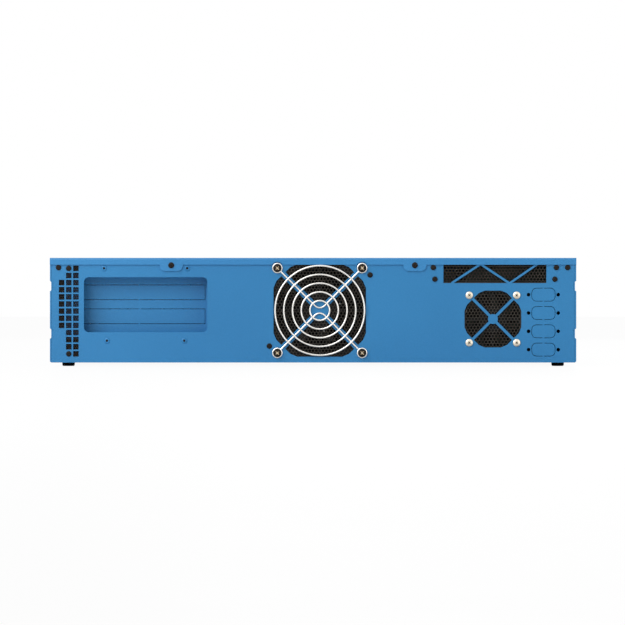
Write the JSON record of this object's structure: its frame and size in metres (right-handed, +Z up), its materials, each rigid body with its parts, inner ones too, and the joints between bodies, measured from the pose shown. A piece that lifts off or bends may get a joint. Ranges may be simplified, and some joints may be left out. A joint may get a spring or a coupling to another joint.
{
  "type": "rack server",
  "caption": "Low steel rack server with a wire-guarded exhaust fan, blanked card slots, pull-out power supplies, drive trays and a lift-off cover.",
  "frame": {"origin": "on the surface under the feet, below the middle of the outline", "axes": "+Z up; the rear wall with the guarded fan looks along -Y; the drives and supplies face +Y"},
  "size_m": [0.444, 0.4681, 0.0916],
  "materials": {
    "blue_paint": "fine textured powder coat",
    "galvanised_steel": "zinc plated",
    "black_steel": "black lacquer",
    "black_screw": "black zinc",
    "chrome_wire": "bright plated",
    "nickel_screw": "nickel plated",
    "rubber": "matte",
    "black_plastic": "moulded",
    "grey_plastic": "moulded",
    "circuit_board": "solder resist",
    "aluminium": "extruded",
    "light_lens": "clear"
  },
  "bodies": {
    "case": {"air_duct": "black_plastic", "base_pan": "blue_paint", "bay_rivets": "blue_paint", "board_standoffs": "nickel_screw", "cpu_heatsink": "aluminium", "cpu_socket": "grey_plastic", "drive_backplane": "circuit_board", "drive_cage": "galvanised_steel", "expansion_bay": "blue_paint", "fan_guard": "chrome_wire", "front_panel": "blue_paint", "gpu_board": "circuit_board", "gpu_bracket": "galvanised_steel", "gpu_heatsink": "aluminium", "gpu_riser": "circuit_board", "gpu_shroud": "black_plastic", "gpu_slot": "black_plastic", "grid_mesh": "black_steel", "guard_screws": "chrome_wire", "intake_mesh": "black_steel", "io_shield": "galvanised_steel", "main_fan_frame": "black_plastic", "main_fan_mesh": "black_steel", "mainboard": "circuit_board", "memory_modules": "circuit_board", "memory_slots": "black_plastic", "network_ports": "galvanised_steel", "power_board": "circuit_board", "psu_cage": "galvanised_steel", "rear_panel": "blue_paint", "rear_panel_screws": "black_screw", "rear_riser": "circuit_board", "riser_bracket": "galvanised_steel", "rubber_feet": "rubber", "small_fan_frame": "black_plastic", "small_fan_mesh": "black_steel", "small_fan_screws": "nickel_screw", "status_lights": "light_lens", "switch_board": "circuit_board", "upper_vent_mesh": "black_steel", "usb_ports": "galvanised_steel", "video_port": "grey_plastic"},
    "cover": {"top_cover": "blue_paint", "cover_fasteners": "black_screw"},
    "main_rotor": {"main_fan_rotor": "black_plastic"},
    "small_rotor": {"small_fan_rotor": "black_plastic"},
    "supply_1": {"psu_housing_1": "aluminium", "psu_handle_1": "black_plastic"},
    "supply_2": {"psu_housing_2": "aluminium", "psu_handle_2": "black_plastic"},
    "latch_1": {"psu_latch_1": "grey_plastic"},
    "latch_2": {"psu_latch_2": "grey_plastic"},
    "tray_1": {"drive_tray_1": "black_plastic", "drive_1": "aluminium"},
    "tray_2": {"drive_tray_2": "black_plastic", "drive_2": "aluminium"},
    "lever_1": {"tray_lever_1": "grey_plastic"},
    "lever_2": {"tray_lever_2": "grey_plastic"},
    "power_switch": {"power_button": "black_plastic"},
    "reset_switch": {"reset_button": "black_plastic"}
  },
  "joints": [
    {"name": "cover_lift", "type": "slide", "parent": "case", "child": "cover", "axis": [0, 0, 1], "range_m": [0, 0.15]},
    {"name": "main_fan_spin", "type": "hinge", "parent": "case", "child": "main_rotor", "pos_m": [0.0056, -0.215, 0.0472], "axis": [0, 1, 0], "continuous": true},
    {"name": "small_fan_spin", "type": "hinge", "parent": "case", "child": "small_rotor", "pos_m": [0.1517, -0.22, 0.04], "axis": [0, 1, 0], "continuous": true},
    {"name": "tray_1_slide", "type": "slide", "parent": "case", "child": "tray_1", "axis": [0, 1, 0], "range_m": [0, 0.115]},
    {"name": "tray_1_lever", "type": "hinge", "parent": "tray_1", "child": "lever_1", "pos_m": [-0.013, 0.2082, 0.0718], "axis": [0, 0, 1], "range_deg": [0, 50]},
    {"name": "psu_1_slide", "type": "slide", "parent": "case", "child": "supply_1", "axis": [0, 1, 0], "range_m": [0, 0.2]},
    {"name": "psu_1_latch", "type": "slide", "parent": "supply_1", "child": "latch_1", "axis": [-1, 0, 0], "range_m": [0, 0.003], "stiffness_N_per_m": 600},
    {"name": "tray_2_slide", "type": "slide", "parent": "case", "child": "tray_2", "axis": [0, 1, 0], "range_m": [0, 0.115]},
    {"name": "tray_2_lever", "type": "hinge", "parent": "tray_2", "child": "lever_2", "pos_m": [0.066, 0.2082, 0.0718], "axis": [0, 0, 1], "range_deg": [0, 50]},
    {"name": "psu_2_slide", "type": "slide", "parent": "case", "child": "supply_2", "axis": [0, 1, 0], "range_m": [0, 0.2]},
    {"name": "psu_2_latch", "type": "slide", "parent": "supply_2", "child": "latch_2", "axis": [-1, 0, 0], "range_m": [0, 0.003], "stiffness_N_per_m": 600},
    {"name": "power_button_press", "type": "slide", "parent": "case", "child": "power_switch", "axis": [0, -1, 0], "range_m": [0, 0.0015], "stiffness_N_per_m": 800},
    {"name": "reset_button_press", "type": "slide", "parent": "case", "child": "reset_switch", "axis": [0, -1, 0], "range_m": [0, 0.0015], "stiffness_N_per_m": 800}
  ]
}
